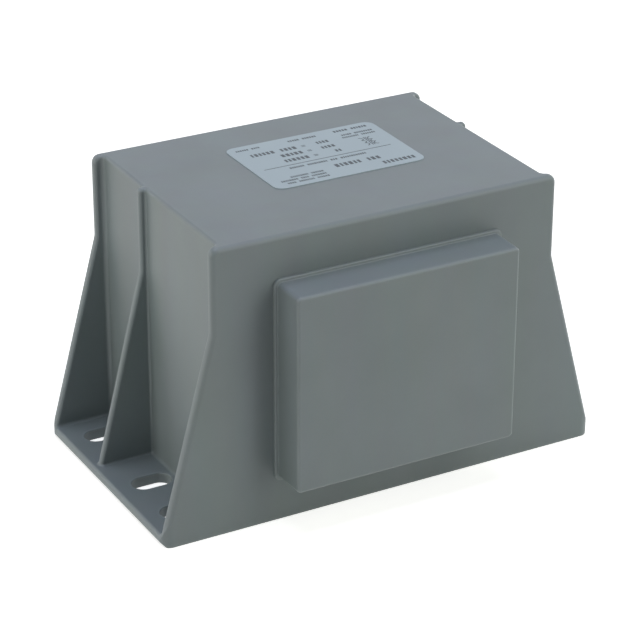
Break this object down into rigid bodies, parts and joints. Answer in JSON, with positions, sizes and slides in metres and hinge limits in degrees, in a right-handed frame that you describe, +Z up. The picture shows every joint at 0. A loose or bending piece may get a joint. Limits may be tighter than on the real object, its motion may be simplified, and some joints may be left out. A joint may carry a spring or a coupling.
{
  "type": "encapsulated chassis transformer",
  "caption": "Mains transformer with an EI laminated core cast into a grey moulded housing, with slotted base flanges, end gussets, raised winding covers and screw terminals.",
  "frame": {"origin": "on the mounting plane, under the middle of the housing", "axes": "+X along the base from flange to flange, +Y to the terminal side, +Z up to the label"},
  "size_m": [0.1448, 0.104, 0.0894],
  "materials": {
    "housing_plastic": "satin moulded",
    "label_film": "satin printed film",
    "core_steel": "blue-grey annealed sheet",
    "bobbin_plastic": "matte moulded",
    "enamelled_copper": "glossy enamel",
    "insulating_tape": "glossy film",
    "lead_sleeve": "matte extruded",
    "terminal_plastic": "fine matte moulded",
    "plated_steel": "bright zinc plate",
    "tinned_copper": "dull tin plate",
    "casting_resin": "smooth cast"
  },
  "bodies": {
    "root": {"housing": "housing_plastic", "rating_label": "label_film", "e_lamination_stack": "core_steel", "i_lamination_stack": "core_steel", "bobbin": "bobbin_plastic", "primary_winding": "enamelled_copper", "secondary_winding": "enamelled_copper", "primary_wrap": "insulating_tape", "secondary_wrap": "insulating_tape", "primary_start_lead": "lead_sleeve", "primary_finish_lead": "lead_sleeve", "secondary_start_lead": "lead_sleeve", "secondary_finish_lead": "lead_sleeve", "primary_terminal_block": "terminal_plastic", "secondary_terminal_block": "terminal_plastic", "primary_wire_cages": "plated_steel", "secondary_wire_cages": "plated_steel", "primary_contact_bars": "tinned_copper", "secondary_contact_bars": "tinned_copper", "primary_clamp_screws": "plated_steel", "secondary_clamp_screws": "plated_steel", "potting_resin": "casting_resin"}
  },
  "joints": []
}
